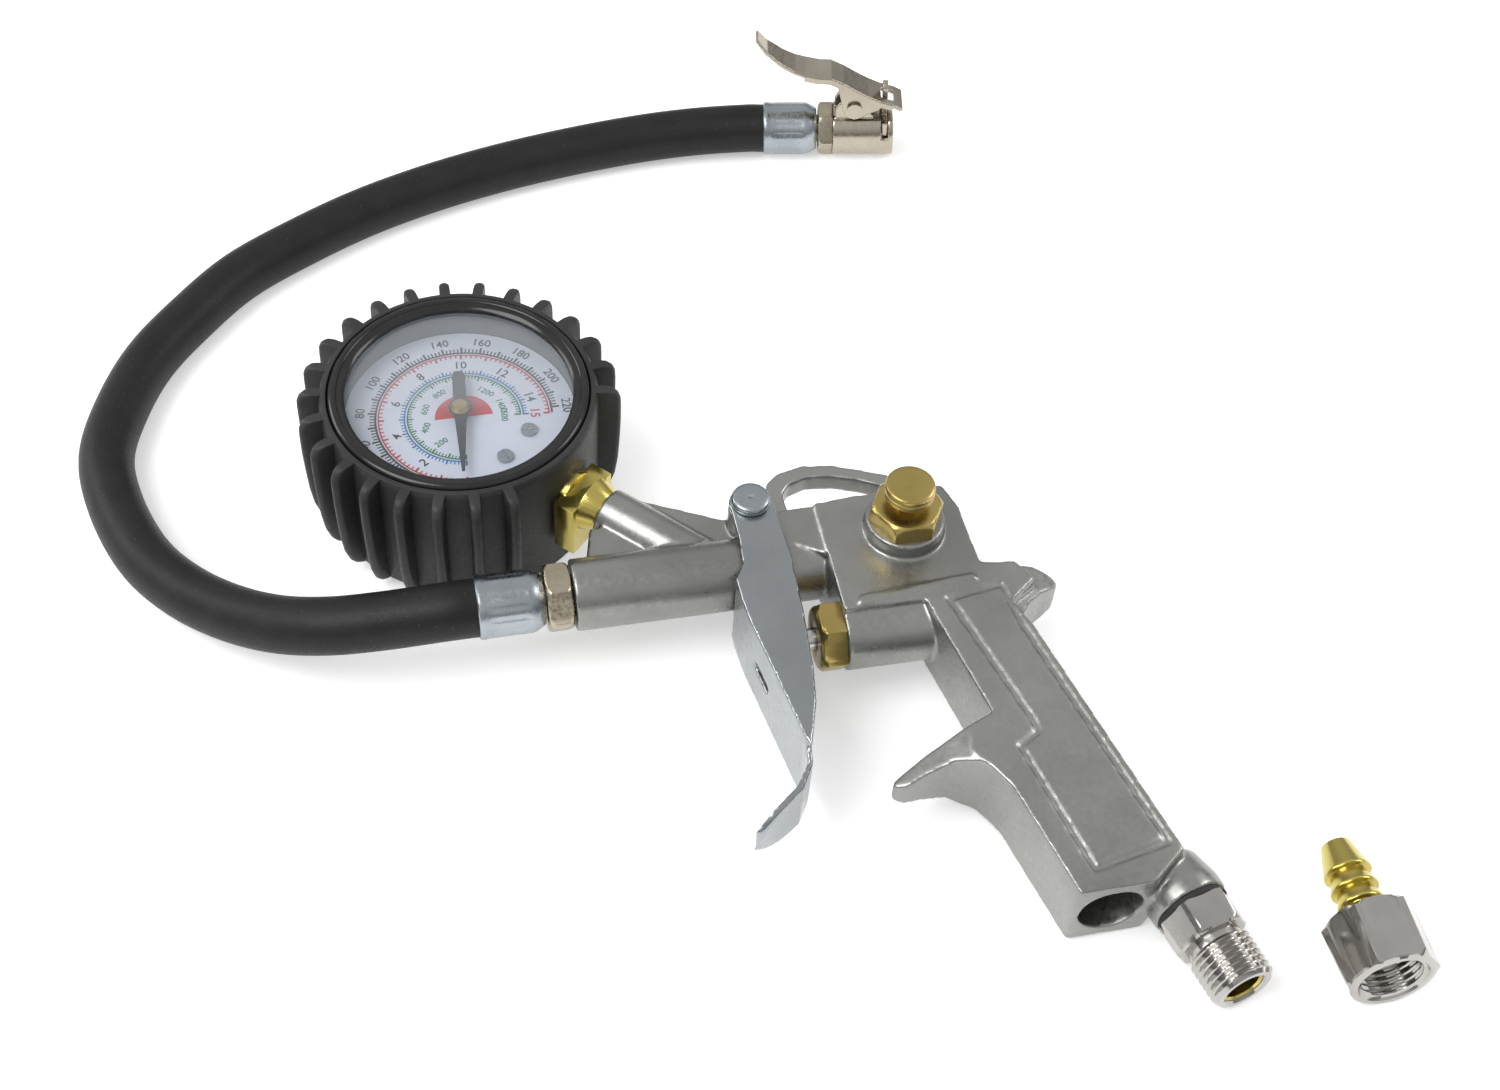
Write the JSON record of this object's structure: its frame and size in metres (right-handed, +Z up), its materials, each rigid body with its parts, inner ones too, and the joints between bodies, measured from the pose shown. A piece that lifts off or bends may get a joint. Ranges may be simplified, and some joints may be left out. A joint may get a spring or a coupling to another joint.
{
  "type": "tire inflator gun",
  "caption": "Hand-held air gun with lever trigger, hanging hook and bleed button, dial gauge in a finned boot, stiff hose with a clip-on chuck, and a loose barbed adaptor.",
  "frame": {"origin": "middle of the footprint of the gun, gauge and loose adaptor, at the height of the table that they lie on", "axes": "+X along the barrel towards the grip, +Y across the table towards the hanging hook and the hose's loop, +Z up from the table, out of the dial"},
  "size_m": [0.2516, 0.2869, 0.0391],
  "materials": {
    "casting": "satin",
    "pressed_steel": "satin",
    "zinc_plate": "satin",
    "spring_steel": "satin",
    "brass": "satin",
    "steel": "polished",
    "seal_rubber": "matte",
    "chrome": "polished",
    "nickel_brass": "satin",
    "hose_rubber": "matte",
    "nickel": "satin",
    "boot_rubber": "matte",
    "black_steel": "satin",
    "bezel_plastic": "gloss",
    "lens": "clear",
    "dial_paint": "satin",
    "pointer_paint": "satin"
  },
  "bodies": {
    "gun": {"gun_body": "casting", "trigger_pin": "zinc_plate", "trigger_clip": "spring_steel", "valve_gland": "brass", "valve_spring": "spring_steel", "bleed_nut": "brass", "bleed_spring": "spring_steel", "inlet_nipple": "chrome", "inlet_seal": "seal_rubber", "hose_coupling": "nickel_brass", "ferrule_gun": "zinc_plate", "hose": "hose_rubber", "ferrule_chuck": "zinc_plate", "chuck_coupling": "nickel_brass", "chuck_body": "nickel", "chuck_pin": "nickel", "chuck_spring": "spring_steel", "chuck_seal": "seal_rubber", "chuck_core": "brass", "gauge_boot": "boot_rubber", "gauge_case": "black_steel", "gauge_bezel": "bezel_plastic", "gauge_lens": "lens", "gauge_dial": "dial_paint", "dial_screws": "zinc_plate", "gauge_stem": "brass", "bourdon_tube": "brass", "movement_frame": "brass", "hairspring": "spring_steel"},
    "adaptor_tail": {"barb_tail": "brass"},
    "adaptor_nut": {"swivel_nut": "chrome"},
    "trigger": {"trigger": "pressed_steel"},
    "valve": {"valve_rod": "steel", "valve_seal": "seal_rubber"},
    "bleed": {"bleed_button": "brass", "bleed_seal": "seal_rubber"},
    "pointer": {"gauge_needle": "pointer_paint", "needle_cap": "brass", "pinion": "brass"},
    "sector": {"sector_gear": "brass"},
    "link": {"tip_link": "brass"},
    "lever": {"chuck_lever": "nickel"},
    "jaw": {"chuck_jaw": "nickel"}
  },
  "joints": [
    {"name": "trigger_pull", "type": "hinge", "parent": "gun", "child": "trigger", "pos_m": [-0.00769, 0.02748, 0.01736], "axis": [0.0463, -0.0551, 0.9974], "range_deg": [0, 7.5], "stiffness_Nm_per_rad": 2, "springref_deg": -14.32},
    {"name": "valve_travel", "type": "slide", "parent": "gun", "child": "valve", "axis": [0.9989, 0.0013, -0.0463], "range_m": [0, 0.00419], "deforming": ["valve_spring"]},
    {"name": "bleed_press", "type": "slide", "parent": "gun", "child": "bleed", "axis": [-0.0463, 0.0551, -0.9974], "range_m": [0, 0.0024], "stiffness_N_per_m": 900, "springref_m": -0.003, "deforming": ["bleed_spring"]},
    {"name": "sector_swing", "type": "hinge", "parent": "gun", "child": "sector", "pos_m": [-0.05532, 0.07539, 0.02222], "axis": [0.0463, -0.0551, 0.9974], "range_deg": [0, 33.75], "stiffness_Nm_per_rad": 0.0004, "springref_deg": -11.46},
    {"name": "pointer_turn", "type": "hinge", "parent": "gun", "child": "pointer", "pos_m": [-0.06487, 0.06585, 0.02214], "axis": [0.0463, -0.0551, 0.9974], "range_deg": [-270, 0]},
    {"name": "link_swing", "type": "hinge", "parent": "sector", "child": "link", "pos_m": [-0.05151, 0.07921, 0.02226], "axis": [0.0463, -0.0551, 0.9974], "range_deg": [-33.75, 0]},
    {"name": "lever_squeeze", "type": "hinge", "parent": "gun", "child": "lever", "pos_m": [0.05112, 0.17225, 0.01642], "axis": [-0.1994, -0.9799, 0], "range_deg": [0, 15], "stiffness_Nm_per_rad": 0.6, "springref_deg": -14.32, "deforming": ["chuck_spring"]},
    {"name": "jaw_lift", "type": "slide", "parent": "gun", "child": "jaw", "axis": [0, 0, 1], "range_m": [0, 0.00232]},
    {"name": "adaptor_lift", "type": "slide", "parent": "gun", "child": "adaptor_tail", "axis": [0, 0, 1], "range_m": [0, 0.06]},
    {"name": "nut_spin", "type": "hinge", "parent": "adaptor_tail", "child": "adaptor_nut", "pos_m": [0.09008, -0.0877, 0.0085], "axis": [-0.0175, -0.9998, 0], "continuous": true}
  ],
  "couplings": [
    {"joint": "valve_travel", "follows": "trigger_pull", "m_per_rad": 0.0305},
    {"joint": "pointer_turn", "follows": "sector_swing", "ratio": -8},
    {"joint": "link_swing", "follows": "sector_swing", "ratio": -1},
    {"joint": "jaw_lift", "follows": "lever_squeeze", "m_per_rad": 0.0081}
  ]
}
